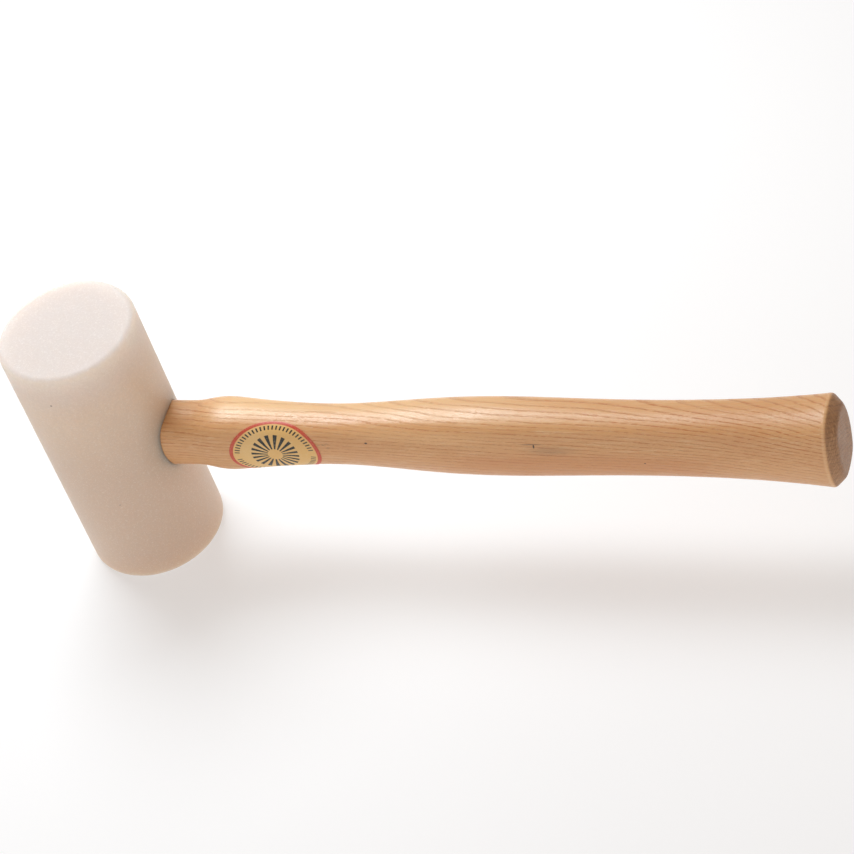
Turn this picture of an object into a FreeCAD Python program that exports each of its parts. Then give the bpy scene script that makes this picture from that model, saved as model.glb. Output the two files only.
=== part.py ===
"""Rubber mallet: a solid cylindrical head on a wedged wooden handle.

Millimetres. +Z is the head's axis, +X runs along the handle from the head to the butt, and the
origin is the centre of the lower striking face.  The handle crosses the head at half its length.
"""
import FreeCAD
import Part
import math
import os
import Sketcher

V = FreeCAD.Vector
NO_TURN = FreeCAD.Rotation()

# Driving dimensions: (alias, value, meaning).
SIZES = [
    ("head_diameter", 54.0, "striking face, over the rounded rims"),
    ("head_length", 113.2, "from one striking face to the other"),
    ("rim_radius", 3.0, "round on both rims of the head"),
    ("handle_reach", 285.3, "from the head's axis to the end of the butt"),
    ("neck_length", 10.5, "parallel neck outside the head"),
    ("neck_height", 24.2, "tenon and eye, along the head's axis"),
    ("neck_flatness", 0.888, "width over height of the neck"),
    ("grip_flatness", 0.834, "width over height of the grip"),
    ("end_arc", 1.5, "radius of the section's top arc over its half width"),
    ("side_arc", 1.6, "radius of the section's side arc over its half height"),
    ("corner_arc", 0.62, "radius of the section's corner over its half width"),
    ("shoulder_height", 27.6, "swell next to the neck"),
    ("waist_height", 22.5, "thinnest place"),
    ("swell_height", 29.9, "under the hand"),
    ("hollow_height", 28.1, "behind the hand"),
    ("butt_height", 34.4, "flare at the end"),
    ("butt_chamfer_length", 3.8, "chamfer around the butt, along the handle"),
    ("butt_chamfer_depth", 3.9, "chamfer around the butt, across the handle"),
    ("kerf_depth", 34.0, "saw cut in the tenon, from the head's surface"),
    ("kerf_mouth", 5.0, "width of the cut where the wooden wedge enters"),
    ("kerf_bottom", 1.2, "width of the cut at its bottom"),
    ("steel_spacing", 10.0, "between the two steel wedges"),
    ("steel_width", 13.0, "steel wedge, across the tenon"),
    ("steel_depth", 16.0, "steel wedge, into the tenon"),
    ("steel_thick", 2.2, "steel wedge at its driven end"),
    ("steel_tip", 0.6, "steel wedge at its tip"),
    ("label_offset", 33.0, "from the end of the neck to the label's centre"),
    ("label_length", 36.0, "along the handle"),
    ("label_height", 22.9, "seen square on"),
    ("label_thick", 0.2, "paper and its varnish"),
]

# Sections of the handle between the neck and the butt's rim: place as a share of that stretch,
# the size that rules the height there and its factor, and the flatness that rules the width.
STATIONS = [
    ("neck_end", 0.0, "neck_height", 1.0, "neck_flatness"),
    ("shoulder_rise", 0.02, "shoulder_height", 0.943, "neck_flatness"),
    ("shoulder", 0.05, "shoulder_height", 1.0, "neck_flatness"),
    ("shoulder_back", 0.082, "shoulder_height", 0.955, "neck_flatness"),
    ("shoulder_fall", 0.12, "shoulder_height", 0.893, "neck_flatness"),
    ("waist_start", 0.17, "waist_height", 1.028, "neck_flatness"),
    ("waist", 0.22, "waist_height", 1.0, "neck_flatness"),
    ("waist_end", 0.30, "waist_height", 1.107, "grip_flatness"),
    ("swell_start", 0.385, "swell_height", 0.94, "grip_flatness"),
    ("swell", 0.495, "swell_height", 1.0, "grip_flatness"),
    ("swell_end", 0.62, "swell_height", 0.9615, "grip_flatness"),
    ("hollow", 0.76, "hollow_height", 1.0, "grip_flatness"),
    ("flare_start", 0.89, "hollow_height", 1.068, "grip_flatness"),
    ("butt_rim", 1.0, "butt_height", 1.0, "grip_flatness"),
]

doc = FreeCAD.newDocument("mallet")
sheet = doc.addObject("Spreadsheet::Sheet", "Sizes")


def fill_sheet():
    """Write every driving dimension into the sheet, next to its meaning."""
    for row, (alias, value, meaning) in enumerate(SIZES, start=1):
        sheet.set("A%d" % row, str(value))
        sheet.setAlias("A%d" % row, alias)
        sheet.set("B%d" % row, meaning)
    doc.recompute()


def size(alias):
    """Value of a driving dimension."""
    return float(sheet.get(alias))


def origin_plane(body, role):
    """One of the body's own origin planes."""
    return next(item for item in body.Origin.OriginFeatures if item.Role == role)


def new_sketch(body, name, role, offset="0"):
    """A sketch on an origin plane of the body, moved along the plane's normal by an expression."""
    sketch = body.newObject("Sketcher::SketchObject", name)
    sketch.AttachmentSupport = [(origin_plane(body, role), "")]
    sketch.MapMode = "FlatFace"
    sketch.setExpression("AttachmentOffset.Base.z", offset)
    return sketch


def new_body(name):
    """A body whose own origin lies on the head's axis, at half the head's length."""
    body = doc.addObject("PartDesign::Body", name)
    body.Label = name
    body.setExpression("Placement.Base.z", "Sizes.head_length / 2")
    return body


def bind(sketch, name, kind, places, start, expression):
    """Add a named dimension to a sketch and tie it to an expression."""
    index = sketch.addConstraint(Sketcher.Constraint(kind, *places, start))
    sketch.renameConstraint(index, name)
    sketch.setExpression("Constraints." + name, expression)


def draw_polygon(sketch, name, corners):
    """A closed polygon whose corners are pairs (start value, expression) along both sketch axes."""
    first = sketch.GeometryCount
    count = len(corners)
    points = [V(across[0], along[0], 0) for across, along in corners]
    for index in range(count):
        sketch.addGeometry(Part.LineSegment(points[index], points[(index + 1) % count]), False)
    for index in range(count):
        after = first + (index + 1) % count
        sketch.addConstraint(Sketcher.Constraint("Coincident", first + index, 2, after, 1))
    for index, (across, along) in enumerate(corners):
        place = (-1, 1, first + index, 1)
        bind(sketch, "%s_across_%d" % (name, index), "DistanceX", place, *across)
        bind(sketch, "%s_along_%d" % (name, index), "DistanceY", place, *along)


def corner_centre(half_height, half_width, end_radius, side_radius, corner_radius):
    """Centre of the corner arc that touches the end arc and the side arc from inside."""
    end = V(0, half_height - end_radius, 0)
    side = V(half_width - side_radius, 0, 0)
    reach_end = end_radius - corner_radius
    reach_side = side_radius - corner_radius
    apart = (side - end).Length
    along = (apart ** 2 + reach_end ** 2 - reach_side ** 2) / (2 * apart)
    across = math.sqrt(reach_end ** 2 - along ** 2)
    unit = (side - end) / apart
    normal = V(unit.y, -unit.x, 0)
    return end + unit * along + normal * across


def oval_arcs(half_height, half_width, grow):
    """Eight tangent arcs, anticlockwise from the right side: (centre, radius, start, end)."""
    end_radius = size("end_arc") * half_width
    side_radius = size("side_arc") * half_height
    corner_radius = size("corner_arc") * half_width
    rise = half_height - end_radius
    inset = half_width - side_radius
    knob = corner_centre(half_height, half_width, end_radius, side_radius, corner_radius)
    low = math.atan2(knob.y, knob.x - inset)
    high = math.atan2(knob.y - rise, knob.x)
    turn = math.pi
    return [
        (V(inset, 0, 0), side_radius + grow, -low, low),
        (V(knob.x, knob.y, 0), corner_radius + grow, low, high),
        (V(0, rise, 0), end_radius + grow, high, turn - high),
        (V(-knob.x, knob.y, 0), corner_radius + grow, turn - high, turn - low),
        (V(-inset, 0, 0), side_radius + grow, turn - low, turn + low),
        (V(-knob.x, -knob.y, 0), corner_radius + grow, turn + low, turn + high),
        (V(0, -rise, 0), end_radius + grow, turn + high, 2 * turn - high),
        (V(knob.x, -knob.y, 0), corner_radius + grow, 2 * turn - high, 2 * turn - low),
    ]


def draw_oval(sketch, height, width, grow=(0.0, "0")):
    """Oval section: each of height, width and grow is a pair (start value, expression)."""
    arcs = oval_arcs(height[0] / 2, width[0] / 2, grow[0])
    for centre, radius, start, end in arcs:
        circle = Part.Circle(centre, V(0, 0, 1), radius)
        sketch.addGeometry(Part.ArcOfCircle(circle, start, end), False)
    for index in range(8):
        sketch.addConstraint(Sketcher.Constraint("Tangent", index, 2, (index + 1) % 8, 1))
    for index in (0, 4):
        sketch.addConstraint(Sketcher.Constraint("PointOnObject", index, 3, -1))
    for index in (2, 6):
        sketch.addConstraint(Sketcher.Constraint("PointOnObject", index, 3, -2))
    for first, second in ((0, 4), (2, 6), (1, 3), (3, 5), (5, 7)):
        sketch.addConstraint(Sketcher.Constraint("Equal", first, second))
    more = " + (%s)" % grow[1]
    half_height = "(%s) / 2" % height[1]
    half_width = "(%s) / 2" % width[1]
    side = "Sizes.side_arc * %s" % half_height
    end = "Sizes.end_arc * %s" % half_width
    corner = "Sizes.corner_arc * %s" % half_width
    bind(sketch, "side_radius", "Radius", (0,), arcs[0][1], side + more)
    bind(sketch, "corner_radius", "Radius", (1,), arcs[1][1], corner + more)
    bind(sketch, "end_radius", "Radius", (2,), arcs[2][1], end + more)
    places = [
        ("right", "DistanceX", 0, arcs[0][0].x, "%s - %s" % (half_width, side)),
        ("top", "DistanceY", 2, arcs[2][0].y, "%s - %s" % (half_height, end)),
        ("left", "DistanceX", 4, arcs[4][0].x, "%s - %s" % (side, half_width)),
        ("bottom", "DistanceY", 6, arcs[6][0].y, "%s - %s" % (end, half_height)),
    ]
    for name, kind, index, start, expression in places:
        bind(sketch, name + "_centre", kind, (-1, 1, index, 3), start, expression)


def neck_oval():
    """Height and width of the neck, the tenon and the eye."""
    height = size("neck_height")
    return (
        (height, "Sizes.neck_height"),
        (height * size("neck_flatness"), "Sizes.neck_height * Sizes.neck_flatness"),
    )


def station_sketch(body, name, place, height_name, factor, flatness_name, grow):
    """Section of the handle at a share of the stretch from the neck's end to the butt's rim."""
    start = "(Sizes.head_diameter / 2 + Sizes.neck_length)"
    stop = "(Sizes.handle_reach - Sizes.butt_chamfer_length)"
    offset = "%s + %s * (%s - %s)" % (start, place, stop, start)
    height = factor * size(height_name)
    width = height * size(flatness_name)
    height_text = "%s * Sizes.%s" % (factor, height_name)
    width_text = "%s * Sizes.%s" % (height_text, flatness_name)
    sketch = new_sketch(body, name, "YZ_Plane", offset)
    draw_oval(sketch, (height, height_text), (width, width_text), grow)
    return sketch


def add_loft(body, name, sketches, ruled=False):
    """Loft through sketches of the same body."""
    loft = body.newObject("PartDesign::AdditiveLoft", name)
    loft.Profile = sketches[0]
    loft.Sections = sketches[1:]
    loft.Ruled = ruled
    doc.recompute()
    return loft


def shaft_loft(body, grow=(0.0, "0")):
    """The handle's shape from the end of the neck to the butt's rim."""
    sketches = [station_sketch(body, body.Name + "_" + row[0], *row[1:], grow) for row in STATIONS]
    return add_loft(body, body.Name + "_shaft", sketches)


def cut(body, sketch, name):
    """Pocket a sketch right through the body, both ways, and make sure that it cut."""
    doc.recompute()
    before = body.Shape.Volume
    pocket = body.newObject("PartDesign::Pocket", name)
    pocket.Profile = sketch
    pocket.Type = "ThroughAll"
    pocket.SideType = "Symmetric"
    doc.recompute()
    if body.Shape.Volume >= before:
        raise RuntimeError(name + " cuts nothing")
    return pocket


def trim_to_head(body):
    """Cut the far end of a piece flush with the head's round side."""
    radius = size("head_diameter") / 2
    sketch = new_sketch(body, body.Name + "_trim_sketch", "XY_Plane")
    circle = Part.Circle(V(0, 0, 0), V(0, 0, 1), radius)
    sketch.addGeometry(Part.ArcOfCircle(circle, math.pi / 2, 3 * math.pi / 2), False)
    far = -2 * radius
    corners = [V(0, radius, 0), V(far, radius, 0), V(far, -radius, 0), V(0, -radius, 0)]
    for start, end in zip(corners, corners[1:]):
        sketch.addGeometry(Part.LineSegment(start, end), False)
    ring = [(0, 1, 1, 1), (1, 2, 2, 1), (2, 2, 3, 1), (3, 2, 0, 2)]
    for places in ring:
        sketch.addConstraint(Sketcher.Constraint("Coincident", *places))
    sketch.addConstraint(Sketcher.Constraint("Coincident", 0, 3, -1, 1))
    sketch.addConstraint(Sketcher.Constraint("PointOnObject", 0, 1, -2))
    sketch.addConstraint(Sketcher.Constraint("PointOnObject", 0, 2, -2))
    sketch.addConstraint(Sketcher.Constraint("Horizontal", 1))
    sketch.addConstraint(Sketcher.Constraint("Horizontal", 3))
    sketch.addConstraint(Sketcher.Constraint("Vertical", 2))
    bind(sketch, "radius", "Radius", (0,), radius, "Sizes.head_diameter / 2")
    bind(sketch, "far", "DistanceX", (-1, 1, 2, 1), far, "-Sizes.head_diameter")
    cut(body, sketch, body.Name + "_trim")


def mouth():
    """Place of the head's far side on the handle's axis, where the wedges enter."""
    return (-size("head_diameter") / 2, "-Sizes.head_diameter / 2")


def deep(alias):
    """Place at the given depth from the head's far side."""
    return (mouth()[0] + size(alias), "-Sizes.head_diameter / 2 + Sizes." + alias)


def half(alias, sign="", more=0.0, more_text=""):
    """Half of a dimension, with its sign, moved by another length."""
    value = size(alias) / 2
    if sign:
        value = -value
    return (value + more, "%sSizes.%s / 2%s" % (sign, alias, more_text))


def kerf_corners():
    """Tapered saw cut, seen along the head's axis."""
    return [
        (mouth(), half("kerf_mouth")),
        (mouth(), half("kerf_mouth", "-")),
        (deep("kerf_depth"), half("kerf_bottom", "-")),
        (deep("kerf_depth"), half("kerf_bottom")),
    ]


def steel_corners(side):
    """Tapered steel wedge, seen across the handle; side is + or - for above or below the axis."""
    shift = float(side + "1") * size("steel_spacing") / 2
    text = " %s Sizes.steel_spacing / 2" % side
    return [
        (mouth(), half("steel_thick", "", shift, text)),
        (mouth(), half("steel_thick", "-", shift, text)),
        (deep("steel_depth"), half("steel_tip", "-", shift, text)),
        (deep("steel_depth"), half("steel_tip", "", shift, text)),
    ]


def cut_steel_slots(body):
    """The two slots that the steel wedges press into the wood."""
    for number, side in enumerate("+-", start=1):
        name = "%s_slot_%d" % (body.Name, number)
        sketch = new_sketch(body, name + "_sketch", "XZ_Plane")
        draw_polygon(sketch, "slot", steel_corners(side))
        doc.recompute()
        before = body.Shape.Volume
        pocket = body.newObject("PartDesign::Pocket", name)
        pocket.Profile = sketch
        pocket.Type = "Length"
        pocket.SideType = "Symmetric"
        pocket.setExpression("Length", "Sizes.steel_width")
        doc.recompute()
        if body.Shape.Volume >= before:
            raise RuntimeError(name + " cuts nothing")


def make_head():
    """White cylinder with rounded rims and an oval eye through its side."""
    body = new_body("head")
    outline = new_sketch(body, "head_outline", "XY_Plane", "-Sizes.head_length / 2")
    outline.addGeometry(Part.Circle(V(0, 0, 0), V(0, 0, 1), size("head_diameter") / 2), False)
    outline.addConstraint(Sketcher.Constraint("Coincident", 0, 3, -1, 1))
    bind(outline, "diameter", "Diameter", (0,), size("head_diameter"), "Sizes.head_diameter")
    pad = body.newObject("PartDesign::Pad", "head_cylinder")
    pad.Profile = outline
    pad.setExpression("Length", "Sizes.head_length")
    doc.recompute()
    rims = [
        "Edge%d" % number
        for number, edge in enumerate(pad.Shape.Edges, start=1)
        if isinstance(edge.Curve, Part.Circle)
    ]
    fillet = body.newObject("PartDesign::Fillet", "head_rims")
    fillet.Base = (pad, rims)
    fillet.setExpression("Radius", "Sizes.rim_radius")
    eye = new_sketch(body, "head_eye_sketch", "YZ_Plane")
    draw_oval(eye, *neck_oval())
    cut(body, eye, "head_eye")
    return body


def make_handle():
    """One stick of wood: tenon, neck, shoulder, waist, grip and flared butt."""
    body = new_body("handle")
    neck = new_sketch(body, "handle_neck", "YZ_Plane", "Sizes.head_diameter / 2 + Sizes.neck_length")
    draw_oval(neck, *neck_oval())
    tenon = body.newObject("PartDesign::Pad", "handle_tenon")
    tenon.Profile = neck
    tenon.Reversed = True
    tenon.setExpression("Length", "Sizes.head_diameter + Sizes.neck_length")
    shaft_loft(body)
    rim = station_sketch(body, "handle_rim", *STATIONS[-1][1:], (0.0, "0"))
    depth = (-size("butt_chamfer_depth"), "-Sizes.butt_chamfer_depth")
    end = station_sketch(body, "handle_end", *STATIONS[-1][1:], depth)
    end.setExpression("AttachmentOffset.Base.z", "Sizes.handle_reach")
    add_loft(body, "handle_chamfer", [rim, end], ruled=True)
    kerf = new_sketch(body, "handle_kerf_sketch", "XY_Plane")
    draw_polygon(kerf, "kerf", kerf_corners())
    cut(body, kerf, "handle_kerf")
    cut_steel_slots(body)
    trim_to_head(body)
    return body


def make_wooden_wedge():
    """Hardwood wedge that fills the saw cut and ends flush with the head's side."""
    body = new_body("wooden_wedge")
    section = new_sketch(body, "wedge_section", "YZ_Plane", "-Sizes.head_diameter / 2")
    draw_oval(section, *neck_oval())
    pad = body.newObject("PartDesign::Pad", "wedge_block")
    pad.Profile = section
    pad.setExpression("Length", "Sizes.kerf_depth")
    sides = new_sketch(body, "wedge_sides", "XY_Plane")
    for number, sign in enumerate(("", "-")):
        edge = half("head_diameter", sign)
        corners = [
            (mouth(), half("kerf_mouth", sign)),
            (deep("kerf_depth"), half("kerf_bottom", sign)),
            (deep("kerf_depth"), edge),
            (mouth(), edge),
        ]
        draw_polygon(sides, "side_%d" % number, corners)
    cut(body, sides, "wedge_taper")
    cut_steel_slots(body)
    trim_to_head(body)
    return body


def make_steel_wedge(number, side):
    """Flat steel wedge driven across the wooden one."""
    body = new_body("steel_wedge_%d" % number)
    sketch = new_sketch(body, body.Name + "_sketch", "XZ_Plane")
    draw_polygon(sketch, "wedge", steel_corners(side))
    pad = body.newObject("PartDesign::Pad", body.Name + "_block")
    pad.Profile = sketch
    pad.SideType = "Symmetric"
    pad.setExpression("Length", "Sizes.steel_width")
    trim_to_head(body)
    return body


def make_label(handle):
    """Oval paper label that follows the handle's surface below the shoulder."""
    skin = new_body("label_skin")
    shaft_loft(skin, (size("label_thick"), "Sizes.label_thick"))
    plan = doc.addObject("Part::Cylinder", "label_plan")
    plan.setExpression("Radius", "Sizes.label_length / 2")
    plan.setExpression("Height", "Sizes.shoulder_height")
    oval = doc.addObject("Part::Feature", "label_oval")
    doc.recompute()
    squash = FreeCAD.Matrix()
    squash.scale(V(1, size("label_height") / size("label_length"), 1))
    oval.Shape = plan.Shape.transformGeometry(squash)
    centre = size("head_diameter") / 2 + size("neck_length") + size("label_offset")
    facing = FreeCAD.Rotation(V(1, 0, 0), 90)
    oval.Placement = FreeCAD.Placement(V(centre, 0, size("head_length") / 2), facing)
    patch = doc.addObject("Part::Common", "label_patch")
    patch.Base = skin
    patch.Tool = oval
    label = doc.addObject("Part::Cut", "label")
    label.Label = "label"
    label.Base = patch
    label.Tool = handle
    doc.recompute()
    return label


def check(pieces):
    """Stop if any object failed or any piece is not one valid solid."""
    for item in doc.Objects:
        if "Invalid" in item.State or "Error" in item.State:
            raise RuntimeError("%s failed: %s" % (item.Name, item.State))
    for piece in pieces:
        shape = piece.Shape
        if shape.isNull() or not shape.isValid() or len(shape.Solids) != 1:
            raise RuntimeError(piece.Label + " is not one valid solid")


def main():
    """Build every piece, check it and write it out."""
    fill_sheet()
    head = make_head()
    handle = make_handle()
    pieces = [head, handle, make_wooden_wedge()]
    for number, side in enumerate("+-", start=1):
        pieces.append(make_steel_wedge(number, side))
    pieces.append(make_label(handle))
    doc.recompute()
    check(pieces)
    os.makedirs("parts", exist_ok=True)
    for piece in pieces:
        piece.Shape.exportStep("parts/%s.step" % piece.Label)


main()
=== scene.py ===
"""Looks of the rubber mallet: milky head, lacquered ash handle, printed oval label, wedged eye."""
import math

import bmesh
import bpy
import numpy as np
from mathutils import Matrix, Vector, noise
from mathutils.bvhtree import BVHTree


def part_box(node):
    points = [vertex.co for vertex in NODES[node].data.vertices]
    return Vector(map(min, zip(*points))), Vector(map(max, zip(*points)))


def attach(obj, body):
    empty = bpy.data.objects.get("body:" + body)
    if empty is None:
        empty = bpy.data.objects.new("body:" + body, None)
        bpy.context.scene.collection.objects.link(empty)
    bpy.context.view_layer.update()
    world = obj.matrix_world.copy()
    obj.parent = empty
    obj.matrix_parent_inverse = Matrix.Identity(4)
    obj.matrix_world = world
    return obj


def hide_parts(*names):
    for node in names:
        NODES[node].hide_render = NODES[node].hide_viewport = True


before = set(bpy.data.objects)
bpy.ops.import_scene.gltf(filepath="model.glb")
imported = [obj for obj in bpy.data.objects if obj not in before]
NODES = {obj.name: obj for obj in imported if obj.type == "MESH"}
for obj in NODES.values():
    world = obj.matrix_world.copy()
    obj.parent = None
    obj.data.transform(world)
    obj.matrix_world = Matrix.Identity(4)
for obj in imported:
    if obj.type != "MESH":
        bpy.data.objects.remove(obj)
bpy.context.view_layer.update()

MM = 0.001
HEAD_LOW, HEAD_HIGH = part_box("head")
HANDLE_LOW, HANDLE_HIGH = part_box("handle")
LABEL_LOW, LABEL_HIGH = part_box("label")
HEAD_RADIUS = min(HEAD_HIGH.x - HEAD_LOW.x, HEAD_HIGH.y - HEAD_LOW.y) / 2
HEAD_LENGTH = HEAD_HIGH.z - HEAD_LOW.z
AXIS_Z = (HANDLE_LOW.z + HANDLE_HIGH.z) / 2
REACH = HANDLE_HIGH.x

# Shape values that the CAD solids share.
RIM_ROUND = 3.0 * MM
CHAMFER_LENGTH = 3.8 * MM
CHAMFER_DEPTH = 3.9 * MM
END_ARC = 1.5
SIDE_ARC = 1.6
CORNER_ARC = 0.62


# ---------------------------------------------------------------- mesh helpers

def make_object(name, vertices, faces, material, replaced=(), sharp_angle=40.0):
    """A smooth-shaded piece that rides on the mallet and stands for the CAD nodes in replaced."""
    mesh = bpy.data.meshes.new(name)
    mesh.from_pydata([tuple(v) for v in vertices], [], faces)
    mesh.validate()
    mesh.materials.append(material)
    mesh.shade_smooth()
    mesh.set_sharp_from_angle(angle=math.radians(sharp_angle))
    piece = bpy.data.objects.new(name, mesh)
    bpy.context.scene.collection.objects.link(piece)
    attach(piece, "root")
    for node in replaced:
        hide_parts(node)
    return piece


def outward(piece):
    """Turn all faces of a closed piece outwards."""
    work = bmesh.new()
    work.from_mesh(piece.data)
    bmesh.ops.recalc_face_normals(work, faces=work.faces)
    work.to_mesh(piece.data)
    work.free()


def ring_faces(first, second, count):
    """Quads between two closed rings of vertices that start at the given indices."""
    faces = []
    for index in range(count):
        after = (index + 1) % count
        faces.append((first + index, first + after, second + after, second + index))
    return faces


# ---------------------------------------------------------------- section of the handle

def oval_outline(half_height, half_width, grow=0.0, steps=24):
    """Closed oval of eight tangent arcs as an array of (y, z), anticlockwise from the +y side."""
    end_radius = END_ARC * half_width
    side_radius = SIDE_ARC * half_height
    corner_radius = CORNER_ARC * half_width
    end = np.array([0.0, half_height - end_radius])
    side = np.array([half_width - side_radius, 0.0])
    reach_end = end_radius - corner_radius
    reach_side = side_radius - corner_radius
    apart = np.hypot(*(side - end))
    along = (apart ** 2 + reach_end ** 2 - reach_side ** 2) / (2 * apart)
    across = math.sqrt(reach_end ** 2 - along ** 2)
    unit = (side - end) / apart
    knob = end + unit * along + np.array([unit[1], -unit[0]]) * across
    low = math.atan2(knob[1] - side[1], knob[0] - side[0])
    high = math.atan2(knob[1] - end[1], knob[0] - end[0])
    arcs = [
        (side, side_radius, 0.0, low),
        (knob, corner_radius, low, high),
        (end, end_radius, high, math.pi / 2),
    ]
    quarter = []
    for centre, radius, start, stop in arcs:
        for angle in np.linspace(start, stop, steps, endpoint=False):
            quarter.append(centre + (radius + grow) * np.array([math.cos(angle), math.sin(angle)]))
    top = np.array([0.0, half_height + grow])
    quarter = np.array(quarter)
    left = np.vstack([top, (quarter[1:] * (-1, 1))[::-1]])
    upper = np.vstack([quarter, left])
    return np.vstack([upper, -upper])


def oval_ring(half_height, half_width, count, grow=0.0):
    """The oval as count points at equal steps of arc length."""
    outline = oval_outline(half_height, half_width, grow)
    closed = np.vstack([outline, outline[:1]])
    lengths = np.concatenate([[0.0], np.cumsum(np.hypot(*np.diff(closed, axis=0).T))])
    wanted = np.linspace(0.0, lengths[-1], count, endpoint=False)
    return np.column_stack([np.interp(wanted, lengths, closed[:, i]) for i in range(2)])


def oval_at_angles(half_height, half_width, angles, grow=0.0):
    """Points of the oval in the directions given by polar angles."""
    outline = oval_outline(half_height, half_width, grow)
    polar = np.unwrap(np.arctan2(outline[:, 1], outline[:, 0]))
    radii = np.hypot(outline[:, 0], outline[:, 1])
    polar = np.concatenate([polar, polar[:1] + 2 * math.pi])
    radii = np.concatenate([radii, radii[:1]])
    radius = np.interp(np.mod(angles, 2 * math.pi), polar, radii)
    return np.column_stack([radius * np.cos(angles), radius * np.sin(angles)])


def measure_handle():
    """Half height and half width of the CAD handle at even stations from the neck to the butt."""
    mesh = NODES["handle"].data
    tree = BVHTree.FromPolygons([v.co for v in mesh.vertices], [p.vertices for p in mesh.polygons])
    stations = np.linspace(HEAD_RADIUS + 1 * MM, REACH - CHAMFER_LENGTH - 0.05 * MM, 96)
    heights = []
    widths = []
    for station in stations:
        above = tree.ray_cast(Vector((station, 0, AXIS_Z + 0.1)), Vector((0, 0, -1)))[0]
        beside = tree.ray_cast(Vector((station, -0.1, AXIS_Z)), Vector((0, 1, 0)))[0]
        heights.append(above.z - AXIS_Z)
        widths.append(-beside.y)
    return stations, smooth(np.array(heights)), smooth(np.array(widths))


def smooth(values):
    """One pass of a light three-point average that keeps both ends."""
    inner = (values[:-2] + 2 * values[1:-1] + values[2:]) / 4
    return np.concatenate([values[:1], inner, values[-1:]])


def cubic(stations, values, place):
    """Smooth interpolation of evenly spaced values."""
    step = stations[1] - stations[0]
    share = np.clip((place - stations[0]) / step, 0, len(values) - 1 - 1e-9)
    index = int(share)
    t = share - index
    a = values[max(index - 1, 0)]
    b = values[index]
    c = values[index + 1]
    d = values[min(index + 2, len(values) - 1)]
    return b + 0.5 * t * (c - a + t * (2 * a - 5 * b + 4 * c - d + t * (3 * (b - c) + d - a)))


STATIONS, HALF_HEIGHTS, HALF_WIDTHS = measure_handle()


def half_size(place):
    """Half height and half width of the handle's section at a place along it."""
    return cubic(STATIONS, HALF_HEIGHTS, place), cubic(STATIONS, HALF_WIDTHS, place)


# ---------------------------------------------------------------- shader helpers

class Shader:
    """Small wrapper that adds nodes to a material and links them."""

    def __init__(self, name):
        self.material = bpy.data.materials.new(name)
        self.material.use_nodes = True
        self.tree = self.material.node_tree
        self.tree.nodes.clear()
        self.output = self.tree.nodes.new("ShaderNodeOutputMaterial")
        self.surface = self.tree.nodes.new("ShaderNodeBsdfPrincipled")
        self.tree.links.new(self.surface.outputs[0], self.output.inputs[0])

    def feed(self, socket, value):
        """Link a socket or set a plain value."""
        if isinstance(value, bpy.types.NodeSocket):
            self.tree.links.new(value, socket)
        else:
            socket.default_value = value

    def node(self, kind, inputs=(), **settings):
        """Add a node; inputs are pairs of (socket name or number, value)."""
        node = self.tree.nodes.new("ShaderNode" + kind)
        for key, value in settings.items():
            setattr(node, key, value)
        for key, value in inputs:
            self.feed(node.inputs[key], value)
        return node

    def maths(self, operation, first, second=0.0):
        """One arithmetic step."""
        return self.node("Math", [(0, first), (1, second)], operation=operation).outputs[0]

    def times(self, first, second):
        """Product of two values."""
        return self.maths("MULTIPLY", first, second)

    def away(self, value, middle):
        """Distance of a value from a middle value."""
        return self.maths("ABSOLUTE", self.maths("SUBTRACT", value, middle))

    def vector(self, operation, first, second=(0, 0, 0), output=0):
        """One vector step."""
        return self.node("VectorMath", [(0, first), (1, second)], operation=operation).outputs[output]

    def split(self, vector):
        """The three parts of a vector."""
        return self.node("SeparateXYZ", [(0, vector)]).outputs

    def place(self, scale, location=(0, 0, 0)):
        """Object coordinates in the mallet's frame, moved and then scaled."""
        source = self.node("TexCoord").outputs["Object"]
        moved = self.vector("SUBTRACT", source, location)
        return self.vector("MULTIPLY", moved, scale)

    def noise(self, place, scale=1.0, detail=2.0, roughness=0.5):
        """Fractal noise between 0 and 1."""
        inputs = [("Vector", place), ("Scale", scale), ("Detail", detail), ("Roughness", roughness)]
        return self.node("TexNoise", inputs).outputs[0]

    def ramp(self, value, low, high, start=0.0, stop=1.0):
        """Smooth step of a value between low and high."""
        inputs = [(0, value), (1, low), (2, high), (3, start), (4, stop)]
        return self.node("MapRange", inputs, interpolation_type="SMOOTHSTEP").outputs[0]

    def mix(self, share, first, second):
        """Blend of two colours."""
        node = self.node("Mix", data_type="RGBA")
        self.feed(node.inputs[0], share)
        self.feed(node.inputs[6], first)
        self.feed(node.inputs[7], second)
        return node.outputs[2]

    def bump(self, height, distance, strength=1.0, normal=None):
        """Bump whose distance is in metres."""
        inputs = [("Height", height), ("Distance", distance), ("Strength", strength)]
        node = self.node("Bump", inputs)
        if normal is not None:
            self.feed(node.inputs["Normal"], normal)
        return node.outputs[0]

    def set(self, **values):
        """Set or link inputs of the surface; underscores in a name stand for spaces."""
        for key, value in values.items():
            self.feed(self.surface.inputs[key.replace("_", " ")], value)


def colour(red, green, blue):
    """Linear colour from 0 to 255 display values."""
    linear = [((value / 255 + 0.055) / 1.055) ** 2.4 for value in (red, green, blue)]
    return (*linear, 1.0)


# ---------------------------------------------------------------- head

HEAD_COLUMNS = 288
HEAD_ROWS = 120
EYE_COLUMNS = 24          # columns each side of the eye that its window takes
EYE_ROWS = 18             # rows above and below the eye's middle that its window takes
EYE_LIP = 0.45 * MM       # worn round where the handle enters
EYE_STEPS = 8


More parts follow.
